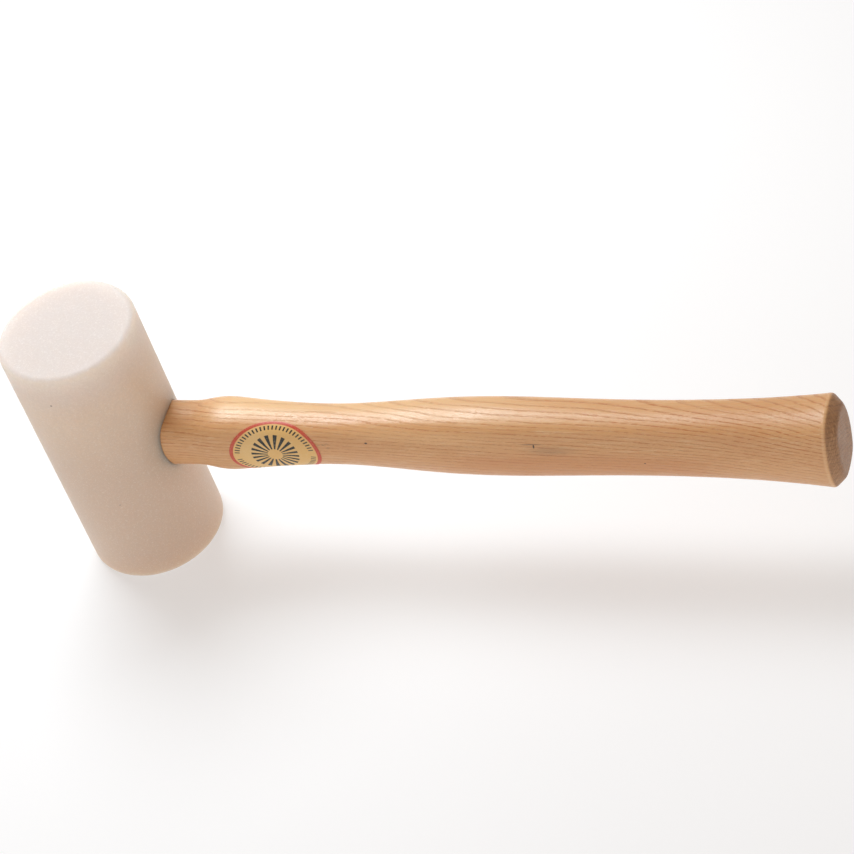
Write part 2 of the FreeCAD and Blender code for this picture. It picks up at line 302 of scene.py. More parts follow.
def head_profile():
    """Radius and height from the centre of the lower face to the centre of the upper face."""
    flat = HEAD_RADIUS - RIM_ROUND
    lower = [(flat * share, 0.0) for share in np.linspace(0.04, 0.98, 12)]
    for angle in np.linspace(0, math.pi / 2, 12):
        out = flat + RIM_ROUND * math.sin(angle)
        lower.append((out, RIM_ROUND * (1 - math.cos(angle))))
    rows = np.linspace(RIM_ROUND, HEAD_LENGTH - RIM_ROUND, HEAD_ROWS + 1)
    side = [(HEAD_RADIUS, z) for z in rows[1:-1]]
    upper = [(r, HEAD_LENGTH - z) for r, z in reversed(lower)]
    return lower + side + upper, len(lower) - 1


def on_side(across, height):
    """Point on the head's round side from its distance around the +x line and its height."""
    angle = across / HEAD_RADIUS
    return np.array([HEAD_RADIUS * math.cos(angle), HEAD_RADIUS * math.sin(angle), height])


def build_head(material):
    """Turned cylinder whose oval eye runs from one side to the other with worn lips."""
    profile, first_side = head_profile()
    count = HEAD_COLUMNS
    turns = [2 * math.pi * i / count for i in range(count)]
    vertices = []
    for radius, z in profile:
        vertices += [(radius * math.cos(t), radius * math.sin(t), z) for t in turns]
    middle_row = first_side + HEAD_ROWS // 2
    faces = []
    for row in range(len(profile) - 1):
        in_rows = middle_row - EYE_ROWS <= row < middle_row + EYE_ROWS
        for column in range(count):
            offset = (column + EYE_COLUMNS) % (count // 2)
            if in_rows and offset < 2 * EYE_COLUMNS:
                continue
            after = (column + 1) % count
            low = row * count
            high = low + count
            faces.append((low + column, low + after, high + after, high + column))
    bottom = len(vertices)
    vertices.append((0, 0, profile[0][1]))
    top = len(vertices)
    vertices.append((0, 0, profile[-1][1]))
    last = (len(profile) - 1) * count
    for column in range(count):
        after = (column + 1) % count
        faces.append((bottom, after, column))
        faces.append((top, last + column, last + after))
    add_eye(vertices, faces, middle_row)
    return make_object("head_body", vertices, faces, material, ["head"])


def window_ring(middle_row):
    """Row and column steps around the eye's window, anticlockwise seen from outside."""
    ring = [(-EYE_ROWS, c) for c in range(-EYE_COLUMNS, EYE_COLUMNS)]
    ring += [(r, EYE_COLUMNS) for r in range(-EYE_ROWS, EYE_ROWS)]
    ring += [(EYE_ROWS, c) for c in range(EYE_COLUMNS, -EYE_COLUMNS, -1)]
    ring += [(r, -EYE_COLUMNS) for r in range(EYE_ROWS, -EYE_ROWS, -1)]
    return [(middle_row + r, c) for r, c in ring]


def add_eye(vertices, faces, middle_row):
    """Fill both windows with rings that close in on the eye, and join them with its wall."""
    half_height, half_width = half_size(STATIONS[0])
    ring = window_ring(middle_row)
    count = len(ring)
    mouths = []
    for side in (1, -1):
        start = 0 if side == 1 else HEAD_COLUMNS // 2
        current = []
        for row, column in ring:
            around = start + (column if side == 1 else -column)
            current.append(row * HEAD_COLUMNS + around % HEAD_COLUMNS)
        outer = []
        for index in current:
            x, y, z = vertices[index]
            outer.append((HEAD_RADIUS * math.asin(y / HEAD_RADIUS), z))
        outer = np.array(outer)
        angles = np.arctan2(outer[:, 1] - AXIS_Z, outer[:, 0])
        oval = oval_at_angles(half_height, half_width, angles)
        lip = oval_at_angles(half_height, half_width, angles, EYE_LIP)
        lip_across = HEAD_RADIUS * np.arcsin(lip[:, 0] / HEAD_RADIUS)
        inner = np.column_stack([lip_across, lip[:, 1] + AXIS_Z])
        for step in range(1, EYE_STEPS + 1):
            share = math.sin(step / EYE_STEPS * math.pi / 2)
            between = outer + (inner - outer) * share
            fresh = len(vertices)
            for across, z in between:
                x, y, z = on_side(across, z)
                vertices.append((side * x, y, z))
            current = join_rings(vertices, faces, current, list(range(fresh, fresh + count)), side)
        for turn in np.linspace(0, math.pi / 2, 6)[1:]:
            fresh = len(vertices)
            for (y, z), (lip_y, lip_z) in zip(oval, lip):
                outer_point = np.array([math.sqrt(HEAD_RADIUS ** 2 - lip_y ** 2), lip_y, lip_z])
                corner = np.array([math.sqrt(HEAD_RADIUS ** 2 - y ** 2), y, z])
                deep_point = corner - (EYE_LIP, 0, 0)
                point = corner + (outer_point - corner) * (1 - math.sin(turn))
                point = point + (deep_point - corner) * (1 - math.cos(turn))
                vertices.append((side * point[0], point[1], point[2] + AXIS_Z))
            current = join_rings(vertices, faces, current, list(range(fresh, fresh + count)), side)
        mouths.append(current)
    join_rings(vertices, faces, mouths[0], mouths[1], 1)


def join_rings(vertices, faces, first, second, side):
    """Quads between two rings given as lists of vertex numbers; returns the second ring."""
    count = len(first)
    for index in range(count):
        after = (index + 1) % count
        face = (first[index], first[after], second[after], second[index])
        faces.append(face if side == 1 else face[::-1])
    return second


# ---------------------------------------------------------------- handle

HANDLE_COLUMNS = 176
HANDLE_ROW = 1.0 * MM
RIM_WEAR = 0.9 * MM
END_WEAR = 1.4 * MM
TENON_RECESS = 0.12 * MM
KERF_GAP = 0.04 * MM


def hand_wobble(place, angle):
    """Slight unevenness of a sanded stick, always inwards."""
    around = Vector((math.cos(angle), math.sin(angle), 0)) * 0.7
    value = noise.noise(around + Vector((0, 0, place / (22 * MM))))
    return (value - 1.0) * 0.035 * MM


def eased_corner(before, corner, after, steps=7):
    """Points of a small round that leaves one line before a corner and joins the next after it."""
    points = []
    for share in np.linspace(0, 1, steps):
        rest = 1 - share
        points.append(rest ** 2 * before + 2 * share * rest * corner + share ** 2 * after)
    return points


def butt_profile():
    """Places along the handle and insets of the worn rim, the chamfer and the edge of the flat end."""
    rim = np.array([REACH - CHAMFER_LENGTH, 0.0])
    edge = np.array([REACH, -CHAMFER_DEPTH])
    down = (edge - rim) / np.hypot(*(edge - rim))
    along = np.array([1.0, 0.0])
    inwards = np.array([0.0, -1.0])
    points = eased_corner(rim - along * RIM_WEAR, rim, rim + down * RIM_WEAR)
    for share in (0.35, 0.5, 0.65):
        points.append(rim + (edge - rim) * share)
    points += eased_corner(edge - down * END_WEAR, edge, edge + inwards * END_WEAR)
    return points


def handle_rings():
    """Sections from the far end of the tenon to the butt: (place, half height, half width, grow)."""
    rings = []
    rim = REACH - CHAMFER_LENGTH
    neck = half_size(STATIONS[0])
    for place in np.arange(-HEAD_RADIUS + 6 * MM, STATIONS[0], 2 * MM):
        rings.append((place, *neck, 0.0))
    for place in np.arange(STATIONS[0], rim - RIM_WEAR - 0.5 * MM, HANDLE_ROW):
        rings.append((place, *half_size(place), 0.0))
    for place, inset in butt_profile():
        rings.append((place, *half_size(min(place, rim)), inset))
    return rings


def build_handle(material):
    """The stick: tenon ending flush with the head's far side, neck, grip and chamfered butt."""
    count = HANDLE_COLUMNS
    rings = handle_rings()
    vertices = []
    neck = oval_ring(*half_size(STATIONS[0]), count)
    shares = (0.06, 0.2, 0.35, 0.5, 0.65, 0.8, 0.92, 0.985)
    for share in shares:
        for y, z in neck * share:
            far = -math.sqrt(HEAD_RADIUS ** 2 - y ** 2) + TENON_RECESS
            vertices.append((far, y, z + AXIS_Z))
    for y, z in neck:
        far = -math.sqrt(HEAD_RADIUS ** 2 - y ** 2) + TENON_RECESS + 0.15 * MM
        vertices.append((far, y, z + AXIS_Z))
    for place, half_height, half_width, grow in rings:
        section = oval_ring(half_height, half_width, count, grow)
        for index, (y, z) in enumerate(section):
            if place > HEAD_RADIUS:
                wobble = 1 + hand_wobble(place, 2 * math.pi * index / count) / half_height
                y, z = y * wobble, z * wobble
            vertices.append((place, y, z + AXIS_Z))
    last = rings[-1]
    end = oval_ring(last[1], last[2], count, last[3])
    for share in (0.93, 0.8, 0.62, 0.44, 0.26, 0.08):
        vertices += [(last[0], y, z + AXIS_Z) for y, z in end * share]
    faces = []
    total = len(vertices) // count
    for ring in range(total - 1):
        faces += ring_faces(ring * count, (ring + 1) * count, count)
    far_middle = len(vertices)
    vertices.append((-HEAD_RADIUS + TENON_RECESS, 0, AXIS_Z))
    butt_middle = len(vertices)
    vertices.append((last[0], 0, AXIS_Z))
    start = (total - 1) * count
    for index in range(count):
        after = (index + 1) % count
        faces.append((far_middle, after, index))
        faces.append((butt_middle, start + index, start + after))
    piece = make_object("handle_stick", vertices, faces, material, ["handle"], 28.0)
    outward(piece)
    for node in ("wooden_wedge", "steel_wedge_1", "steel_wedge_2"):
        cut_slot(piece, node)
    return piece


def cut_slot(piece, node):
    """Cut the slot of one wedge into the far end of the handle, a hair wider than the wedge."""
    low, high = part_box(node)
    mesh = NODES[node].data
    middle = Vector(((low + high) / 2))
    tip = [v.co for v in mesh.vertices if v.co.x > high.x - 0.01 * MM]
    thin = 1 if high.y - low.y < high.z - low.z else 2
    wide = 3 - thin
    size = high - low
    half_mouth = size[thin] / 2 + KERF_GAP
    half_tip = max(abs(co[thin] - middle[thin]) for co in tip) + KERF_GAP
    slope = (half_mouth - half_tip) / size.x
    before = 1.0 * MM
    reach = size[wide] / 2 + (2 * MM if wide == 2 else KERF_GAP)
    corners = []
    for place, half in ((low.x - before, half_mouth + slope * before), (high.x, half_tip)):
        for across, along in ((-1, -1), (1, -1), (1, 1), (-1, 1)):
            corner = Vector((place, 0, 0))
            corner[thin] = middle[thin] + across * half
            corner[wide] = middle[wide] + along * reach
            corners.append(corner)
    faces = [(0, 1, 2, 3), (7, 6, 5, 4), (0, 4, 5, 1), (1, 5, 6, 2), (2, 6, 7, 3), (3, 7, 4, 0)]
    mesh = bpy.data.meshes.new("slot_cutter")
    mesh.from_pydata([tuple(c) for c in corners], [], faces)
    cutter = bpy.data.objects.new("slot_cutter", mesh)
    bpy.context.scene.collection.objects.link(cutter)
    outward(cutter)
    modifier = piece.modifiers.new("slot", "BOOLEAN")
    modifier.operation = "DIFFERENCE"
    modifier.solver = "EXACT"
    modifier.object = cutter
    graph = bpy.context.evaluated_depsgraph_get()
    fresh = bpy.data.meshes.new_from_object(piece.evaluated_get(graph))
    piece.modifiers.clear()
    old = piece.data
    piece.data = fresh
    fresh.name = piece.name
    bpy.data.meshes.remove(old)
    bpy.data.objects.remove(cutter)
    bpy.data.meshes.remove(mesh)


# ---------------------------------------------------------------- label

LABEL_RINGS = 40
LABEL_COLUMNS = 144
LABEL_THICK = 0.13 * MM
LABEL_RIPPLE = 0.02 * MM
LABEL_GLUE = 0.02 * MM      # height of the label's underside above the wood
LABEL_MARGIN = 0.05 * MM    # keeps the sheet inside the CAD label's outline


def wrap(place, arc):
    """Point and outward normal on the handle's front at an arc length up from its middle line."""
    outline = oval_outline(*half_size(place))
    front = outline[outline[:, 0] < 1e-9]
    order = np.argsort(front[:, 1])
    front = front[order]
    lengths = np.concatenate([[0.0], np.cumsum(np.hypot(*np.diff(front, axis=0).T))])
    middle = np.interp(0.0, front[:, 1], lengths)
    y, z = (np.interp(middle + arc, lengths, front[:, i]) for i in range(2))
    more_y, more_z = (np.interp(middle + arc + 0.2 * MM, lengths, front[:, i]) for i in range(2))
    normal = Vector((0, -(more_z - z), more_y - y)).normalized()
    return Vector((place, y, z + AXIS_Z)), normal


def label_arc():
    """Arc length from the front's middle line to the height that the CAD label reaches."""
    wanted = LABEL_HIGH.z - AXIS_Z
    low, high = 0.0, 20 * MM
    middle = (LABEL_LOW.x + LABEL_HIGH.x) / 2
    for _ in range(30):
        guess = (low + high) / 2
        if wrap(middle, guess)[0].z - AXIS_Z < wanted:
            low = guess
        else:
            high = guess
    return low


def build_label(material):
    """Oval sticker wrapped on the handle, as a thin closed sheet whose UV map is its flat shape."""
    centre = (LABEL_LOW.x + LABEL_HIGH.x) / 2
    half_length = (LABEL_HIGH.x - LABEL_LOW.x) / 2 - LABEL_MARGIN
    half_arc = label_arc() - LABEL_MARGIN
    count = LABEL_COLUMNS
    vertices = []
    flat = []
    rings = [(share, LABEL_THICK) for share in np.linspace(0.02, 0.992, LABEL_RINGS)]
    rings += [(1.0, LABEL_THICK * 0.75), (1.0, LABEL_GLUE)]
    for share, lift in rings:
        for index in range(count):
            angle = 2 * math.pi * index / count
            u, v = share * math.cos(angle), share * math.sin(angle)
            point, normal = wrap(centre + u * half_length, v * half_arc)
            ripple = 0.0
            if lift == LABEL_THICK:
                ripple = LABEL_RIPPLE * noise.noise(Vector((u * 3, v * 3, 4.0)))
            vertices.append(point + normal * (lift + ripple))
            flat.append((u, v))
    faces = []
    for ring in range(len(rings) - 1):
        faces += ring_faces(ring * count, (ring + 1) * count, count)
    middle, normal = wrap(centre, 0.0)
    top = len(vertices)
    vertices.append(middle + normal * LABEL_THICK)
    flat.append((0, 0))
    under = len(vertices)
    vertices.append(middle + normal * LABEL_GLUE)
    flat.append((0, 0))
    back_rings = []
    for share in np.linspace(0.9, 0.1, 12):
        back_rings.append(len(vertices))
        for index in range(count):
            angle = 2 * math.pi * index / count
            u, v = share * math.cos(angle), share * math.sin(angle)
            point, normal = wrap(centre + u * half_length, v * half_arc)
            vertices.append(point + normal * LABEL_GLUE)
            flat.append((u, v))
    previous = (len(rings) - 1) * count
    for start in back_rings:
        faces += ring_faces(previous, start, count)
        previous = start
    for index in range(count):
        after = (index + 1) % count
        faces.append((top, index, after))
        faces.append((under, previous + after, previous + index))
    piece = make_object("label_sheet", vertices, faces, material, ["label"], 50.0)
    layer = piece.data.uv_layers.new(name="flat")
    for loop in piece.data.loops:
        layer.data[loop.index].uv = flat[loop.vertex_index]
    outward(piece)
    return piece


# ---------------------------------------------------------------- materials

PITH = (0.0, -52.0, -73.0)      # where the growth rings are centred, mm from the handle's axis
RING_SPACING = 1.45             # mm between growth rings
GRAIN_SLOPE = 0.045             # how far the rings drift per mm along the handle
GRAIN_TURN = math.radians(35)   # turns y and z so that z runs across the rings
FLARE_START = 195.0             # place in mm past which the rings bend outwards
FLARE_BEND = 0.0007             # how strongly they bend, per mm
PORE_BROWN = (197, 122, 64)     # colour of the handle's early wood


def ring_phase(shader, place, warp):
    """Growth-ring coordinate: whole numbers are the starts of rings."""
    flat = shader.vector("MULTIPLY", place, (0.0, 1.0, 1.0))
    offset = shader.vector("SUBTRACT", flat, PITH)
    radius = shader.vector("LENGTH", offset, output="Value")
    along = shader.split(place)[0]
    drift = shader.times(along, GRAIN_SLOPE)
    flare = shader.maths("MAXIMUM", shader.maths("SUBTRACT", along, FLARE_START), 0.0)
    bend = shader.times(shader.maths("POWER", flare, 2.0), FLARE_BEND)
    total = shader.maths("ADD", shader.maths("ADD", radius, drift), bend)
    total = shader.maths("ADD", total, warp)
    return shader.maths("DIVIDE", total, RING_SPACING)


def spot(shader, place, centre, radii, edge=0.5):
    """Soft oval mask around a point, in mm from the handle's axis."""
    scale = tuple(1 / r for r in radii)
    moved = shader.vector("SUBTRACT", place, centre)
    squeezed = shader.vector("MULTIPLY", moved, scale)
    distance = shader.vector("LENGTH", squeezed, output="Value")
    return shader.ramp(distance, 1.0, edge)


def end_grain_mask(shader):
    """One where the surface faces along the handle."""
    normal = shader.node("NewGeometry").outputs["True Normal"]
    return shader.ramp(shader.maths("ABSOLUTE", shader.split(normal)[0]), 0.35, 0.8)


def ring_lines(shader, place):
    """Rows of pores at the start of each ring, and the line that they and the band make."""
    warp_noise = shader.noise(shader.place((14, 110, 110), (0, 0, AXIS_Z)), 1.0, 2.0)
    warp = shader.times(shader.maths("SUBTRACT", warp_noise, 0.5), 3.0)
    phase = ring_phase(shader, place, warp)
    share = shader.maths("FRACT", phase)
    number = shader.maths("FLOOR", phase)
    ring_tone = shader.node("TexWhiteNoise", [("W", number)], noise_dimensions="1D").outputs["Value"]
    fall = shader.ramp(share, 0.05, 0.34, 1.0, 0.0)
    rise = shader.ramp(share, 0.93, 1.0)
    band = shader.maths("MAXIMUM", fall, rise)
    dashes = shader.noise(shader.place((330, 2300, 2300)), 1.0, 3.0, 0.7)
    pores = shader.times(shader.ramp(dashes, 0.44, 0.58), band)
    strength = shader.maths("ADD", shader.times(ring_tone, 0.75), 0.25)
    line = shader.maths("ADD", shader.times(pores, 0.85), shader.times(band, 0.25))
    return pores, shader.times(line, strength)


def end_grain_colour(shader, place, line, end_tone, ground):
    """Sawn end: the ring lines, pores cut across, and rays that run across the rings."""
    dots = shader.ramp(shader.noise(shader.place((300, 3800, 3800)), 1.0, 1.0), 0.5, 0.68)
    end_line = shader.maths("MAXIMUM", shader.times(line, 0.8), shader.times(dots, 0.5))
    turned = shader.node("VectorRotate", [(0, place), (3, GRAIN_TURN)], rotation_type="X_AXIS").outputs[0]
    streaks = shader.vector("MULTIPLY", turned, (0.2, 3.4, 0.45))
    rays = shader.ramp(shader.noise(streaks, 1.0, 2.0), 0.48, 0.62, 0.0, 0.55)
    end_dark = shader.mix(0.55, end_tone, (0.03, 0.015, 0.007, 1))
    end_colour = shader.mix(end_line, end_tone, end_dark)
    return shader.mix(rays, end_colour, shader.mix(0.5, end_tone, ground))


def wood(name, ground, early, end_tone, roughness, marks=True):
    """Ring-porous wood: rings, rows of pores, fibres, end grain and a thin clear lacquer."""
    shader = Shader(name)
    place = shader.place((1000, 1000, 1000), (0, 0, AXIS_Z))
    pores, line = ring_lines(shader, place)
    fibres = shader.noise(shader.place((45, 2800, 2800)), 1.0, 3.0, 0.65)
    flecks = shader.ramp(shader.noise(shader.place((900, 7000, 7000)), 1.0, 1.0), 0.56, 0.72)
    cloud = shader.noise(shader.place((22, 70, 70)), 1.0, 2.0)
    dark_ground = shader.mix(0.5, ground, early)
    tone = shader.mix(shader.ramp(fibres, 0.32, 0.68, 0.55, 0.0), ground, dark_ground)
    pale = shader.noise(shader.place((70, 1500, 1500)), 1.0, 3.0, 0.7)
    pale_ground = shader.mix(0.35, ground, (1, 0.86, 0.6, 1))
    tone = shader.mix(shader.ramp(pale, 0.5, 0.72, 0.0, 0.5), tone, pale_ground)
    tone = shader.mix(shader.ramp(cloud, 0.35, 0.75, 0.0, 0.35), tone, dark_ground)
    tone = shader.mix(line, tone, early)
    tone = shader.mix(shader.times(flecks, 0.22), tone, early)
    cut = end_grain_mask(shader)
    tone = shader.mix(cut, tone, end_grain_colour(shader, place, line, end_tone, ground))
    if marks:
        # The handle's marks include painted light, a painted highlight and painted shade.
        tone = handle_marks(shader, place, tone)
        worn_place = (REACH - CHAMFER_LENGTH) / MM - 0.5
        rim = shader.away(shader.split(place)[0], worn_place)
        tone = shader.mix(shader.ramp(rim, 0.9, 0.1, 0.0, 0.35), tone, colour(240, 200, 150))
    wear = shader.noise(shader.place((60, 160, 160)), 1.0, 3.0)
    rough = shader.ramp(wear, 0.3, 0.7, roughness - 0.05, roughness + 0.07)
    rough = shader.maths("ADD", rough, shader.times(cut, 0.25))
    relief = shader.maths("SUBTRACT", shader.times(fibres, 0.35), pores)
    relief = shader.maths("SUBTRACT", relief, shader.times(flecks, 0.3))
    normal = shader.bump(relief, 0.11 * MM, 0.8)
    saw = shader.noise(shader.place((400, 500, 4200)), 1.0, 3.0)
    normal = shader.bump(shader.times(saw, cut), 0.15 * MM, 0.8, normal)
    shader.set(Base_Color=tone, Roughness=rough, Normal=normal)
    shader.set(Coat_Weight=0.25, Coat_Roughness=0.27)
    shader.set(Subsurface_Weight=0.06, Subsurface_Scale=0.001)
    return shader.material


def handle_tones(shader, place, tone):
    """Painted light along the top of the handle, a painted highlight on its upper front, and painted
    shade under the grip.
    """
    along, _, up = shader.split(place)
    slant = shader.vector("DOT_PRODUCT", place, (0, 0.35, 0.94), "Value")
    # Painted light: the top of the handle paler, strongest towards the head and fading towards the butt.
    ends = shader.times(shader.ramp(along, 38.0, 55.0), shader.ramp(along, 250.0, 60.0, 0.0, 0.8))
    upper = shader.times(shader.ramp(slant, 9.0, 12.0), ends)
    tone = shader.mix(shader.times(upper, 0.55), tone, colour(250, 217, 168))
    # Painted shade: the underside darker under the grip, in the early wood's brown.
    ends = shader.times(shader.ramp(along, 120.0, 170.0), shader.ramp(along, 255.0, 225.0))
    under = shader.times(shader.ramp(up, 6.0, 0.0), ends)
    tone = shader.mix(shader.times(under, 0.4), tone, colour(*PORE_BROWN))
    # Painted highlight: a pale cream streak along the upper front of the handle.
    pale = spot(shader, place, (130.0, -9.0, 9.0), (52.0, 6.0, 3.6), 0.2)
    return shader.mix(shader.times(pale, 0.32), tone, colour(255, 208, 152))


def handle_marks(shader, place, tone):
    """Painted light and shade from handle_tones, and the pin knots, short streak and faint grey stains
    that this stick has.
    """
    dark = (0.012, 0.007, 0.006, 1)
    grey = colour(120, 98, 78)
    tone = handle_tones(shader, place, tone)
    stain_and_eye_shade = spot(shader, place, (180.0, -11.5, 5.0), (14.0, 6.0, 3.2), 0.1)
    tone = shader.mix(shader.times(stain_and_eye_shade, 0.28), tone, grey)
    smudge = spot(shader, place, (90.0, -9.6, 3.6), (5.5, 4.0, 3.0), 0.1)
    speck = shader.ramp(shader.noise(shader.place((700, 2600, 2600)), 1.0, 1.0), 0.55, 0.68)
    tone = shader.mix(shader.times(shader.times(smudge, speck), 0.55), tone, grey)
    knots = [
        ((108.0, -9.4, 5.5), (0.75, 2.0, 0.45)),
        ((173.9, -11.0, 6.9), (0.42, 2.0, 0.95)),
        ((214.2, -11.7, -0.8), (0.4, 2.0, 0.38)),
        ((96.0, 9.6, -4.0), (0.8, 2.0, 0.5)),
        ((231.0, 11.0, 5.0), (0.6, 2.0, 0.9)),
    ]
    streak = spot(shader, place, (173.0, -11.0, 7.7), (6.0, 2.0, 0.30), 0.2)
    tone = shader.mix(shader.times(streak, 0.75), tone, colour(92, 56, 36))
    for centre, radii in knots:
        mark = spot(shader, place, centre, radii)
        tone = shader.mix(shader.times(mark, 0.9), tone, dark)
    return tone


def head_material():
    """Milky, waxy moulding: clouded body, paler ground faces, fine grain and a few specks; painted shade
    towards the bottom of the side and round the eye, and painted light on the side under the upper face.
    """
    shader = Shader("milky_rubber")
    place = shader.place((1000, 1000, 1000))
    normal = shader.node("NewGeometry").outputs["Normal"]
    upright = shader.split(normal)[2]
    face = shader.ramp(shader.maths("ABSOLUTE", upright), 0.55, 0.98)
    cloud = shader.noise(shader.place((55, 55, 30)), 1.0, 3.0)
    fine = shader.noise(shader.place((900, 900, 900)), 1.0, 3.0, 0.6)
    height = shader.split(place)[2]
    length = HEAD_LENGTH / MM
    # Painted shade: the side of the head darker towards the bottom.
    painted_lower_shade = shader.ramp(height, length * 0.45, length * 0.85, 1.0, 0.0)
    clouding = shader.ramp(cloud, 0.3, 0.7)
    body = shader.mix(clouding, colour(229, 207, 184), colour(225, 202, 179))
    body = shader.mix(painted_lower_shade, body, colour(215, 190, 168))
    # Painted shade: a darker warm patch on the side round the eye, where the handle enters.
    eye = (HEAD_RADIUS / MM - 3, 0.0, AXIS_Z / MM)
    stain_and_eye_shade = spot(shader, place, eye, (15.0, 24.0, 30.0), 0.35)
    body = shader.mix(shader.times(stain_and_eye_shade, 0.75), body, colour(208, 176, 148))
    # Painted light: the side paler in a band just under the upper face.
    end = shader.ramp(height, length - 22.0, length - 1.5)
    pale_tone = colour(210, 199, 192)
    painted_light_rim_tone = colour(227, 214, 202)
    tone = shader.mix(end, body, painted_light_rim_tone)
    tone = shader.mix(face, tone, pale_tone)
    grain = shader.ramp(fine, 0.35, 0.65, 0.0, 0.16)
    tone = shader.mix(grain, tone, colour(196, 180, 168))
    pale = shader.noise(shader.place((1700, 1700, 1700)), 1.0, 2.0, 0.6)
    tone = shader.mix(shader.ramp(pale, 0.5, 0.75, 0.0, 0.30), tone, colour(244, 238, 232))
    specks = [
        ((-1.0, -27.0, 100.4), 0.55),
        ((13.5, 21.3, 113.2), 0.45),
        ((6.7, -26.1, 43.6), 0.35),
        ((-19.0, 19.2, 71.0), 0.5),
        ((-9.0, 6.0, 0.0), 0.45),
    ]
    for centre, radius in specks:
        mark = spot(shader, place, centre, (radius, radius, radius * 0.8))
        tone = shader.mix(shader.times(mark, 0.75), tone, colour(110, 84, 66))
    rough = shader.ramp(face, 0.0, 1.0, 0.46, 0.62)
    relief = shader.maths("ADD", shader.times(fine, 0.6), shader.times(cloud, 2.0))
    shader.set(Base_Color=tone, Roughness=rough, Normal=shader.bump(relief, 0.04 * MM, 0.7))
    shader.set(Subsurface_Weight=1.0, Subsurface_Scale=0.016, Subsurface_Radius=(1.0, 0.84, 0.72))
    return shader.material


def steel_material():
    """Plain steel driven flush and ground, with a little rust in the scratches."""
    shader = Shader("wedge_steel")
    scratches = shader.noise(shader.place((300, 5200, 500)), 1.0, 3.0, 0.6)
    rust = shader.ramp(shader.noise(shader.place((500, 500, 500)), 1.0, 4.0, 0.7), 0.52, 0.72)
    scored = shader.ramp(scratches, 0.3, 0.7)
    tone = shader.mix(scored, colour(176, 176, 178), colour(130, 129, 130))
    tone = shader.mix(shader.times(rust, 0.6), tone, colour(96, 62, 42))
    metal = shader.ramp(rust, 0.0, 1.0, 1.0, 0.35)
    rough = shader.ramp(scratches, 0.3, 0.7, 0.32, 0.5)
    shader.set(Base_Color=tone, Metallic=metal, Roughness=rough)
    shader.set(Normal=shader.bump(scratches, 0.04 * MM, 0.7))
    return shader.material


# The label's print, as shares of its half length and half height.
RED_RIM = 0.918
TICK_RING = 0.825
TICKS = 60
BURST = (0.52, 0.64)
RAYS = 20


def label_material():
    """Printed paper: red rim, gold field, ring of ticks and a plain sunburst."""
    shader = Shader("label_print")
    flat = shader.node("UVMap", uv_map="flat").outputs[0]
    across, up, _ = shader.split(flat)
    red = colour(202, 78, 52)
    gold = colour(228, 182, 110)
    ink = colour(26, 30, 26)
    distance = shader.vector("LENGTH", flat, output="Value")
    rim = shader.ramp(distance, RED_RIM - 0.005, RED_RIM + 0.005)
    angle = shader.maths("ARCTAN2", up, across)
    turn = shader.maths("FRACT", shader.times(angle, TICKS / (2 * math.pi)))
    tick = shader.ramp(shader.away(turn, 0.5), 0.24, 0.17)
    ring = shader.ramp(shader.away(distance, TICK_RING), 0.06, 0.05)
    gap = shader.ramp(shader.maths("ABSOLUTE", shader.maths("SINE", angle)), 0.12, 0.16)
    ticks = shader.times(shader.times(tick, ring), gap)
    inner = shader.vector("MULTIPLY", flat, (1 / BURST[0], 1 / BURST[1], 0))
    inner_distance = shader.vector("LENGTH", inner, output="Value")
    ray_turn = shader.maths("FRACT", shader.times(angle, RAYS / (2 * math.pi)))
    ray = shader.ramp(shader.away(ray_turn, 0.5), 0.27, 0.21)
    inside = shader.ramp(inner_distance, 1.0, 0.98)
    outside = shader.ramp(inner_distance, 0.30, 0.32)
    rays = shader.times(ray, shader.times(inside, outside))
    paper = shader.noise(shader.place((1500, 1500, 1500)), 1.0, 3.0, 0.7)
    fade = shader.noise(shader.place((90, 90, 90)), 1.0, 2.0)
    faded = shader.ramp(fade, 0.35, 0.7, 0.0, 0.35)
    tone = shader.mix(faded, gold, colour(236, 205, 150))
    tone = shader.mix(ticks, tone, ink)
    tone = shader.mix(rays, tone, ink)
    tone = shader.mix(rim, tone, red)
    fuzz = shader.ramp(paper, 0.45, 0.75, 0.0, 0.16)
    tone = shader.mix(fuzz, tone, colour(240, 222, 190))
    shader.set(Base_Color=tone, Roughness=shader.ramp(fade, 0.3, 0.7, 0.4, 0.5))
    shader.set(Normal=shader.bump(paper, 0.02 * MM, 0.5))
    shader.set(Coat_Weight=0.1, Coat_Roughness=0.3)
    return shader.material


def floor_material():
    """Plain near-white studio floor."""
    shader = Shader("studio_floor")
    cloud = shader.ramp(shader.noise(shader.place((3, 3, 3)), 1.0, 2.0), 0.3, 0.7)
    tone = shader.mix(cloud, (0.58, 0.58, 0.58, 1), (0.56, 0.56, 0.56, 1))
    shader.set(Base_Color=tone)
    shader.set(Roughness=0.9, Emission_Color=(1, 1, 1, 1), Emission_Strength=FLOOR_GLOW)
    return shader.material


# ---------------------------------------------------------------- studio

FLOOR_GLOW = 0.44
HORIZON = (0.58, 0.50, 0.42, 1)
ZENITH = (0.34, 0.28, 0.25, 1)
# Name, place along the handle that it faces, direction, distance, size, power and tint.
LIGHTS = [
    ("key", 0.06, (-0.35, 0.39, 0.86), 0.62, 0.34, 3.9, (0.86, 0.94, 1.0)),
    ("front", 0.1, (0.1, -1.0, 0.30), 1.3, 0.9, 2.4, (0.66, 0.82, 1.0)),
]
CAMERA_AZIMUTH = 29.05
CAMERA_ELEVATION = 44.4
CAMERA_ROLL = -20.57
CAMERA_DISTANCE = 1.1365
CAMERA_LENS = 129.97
CAMERA_TARGET = Vector((0.1294, 0, AXIS_Z + 4.4 * MM))


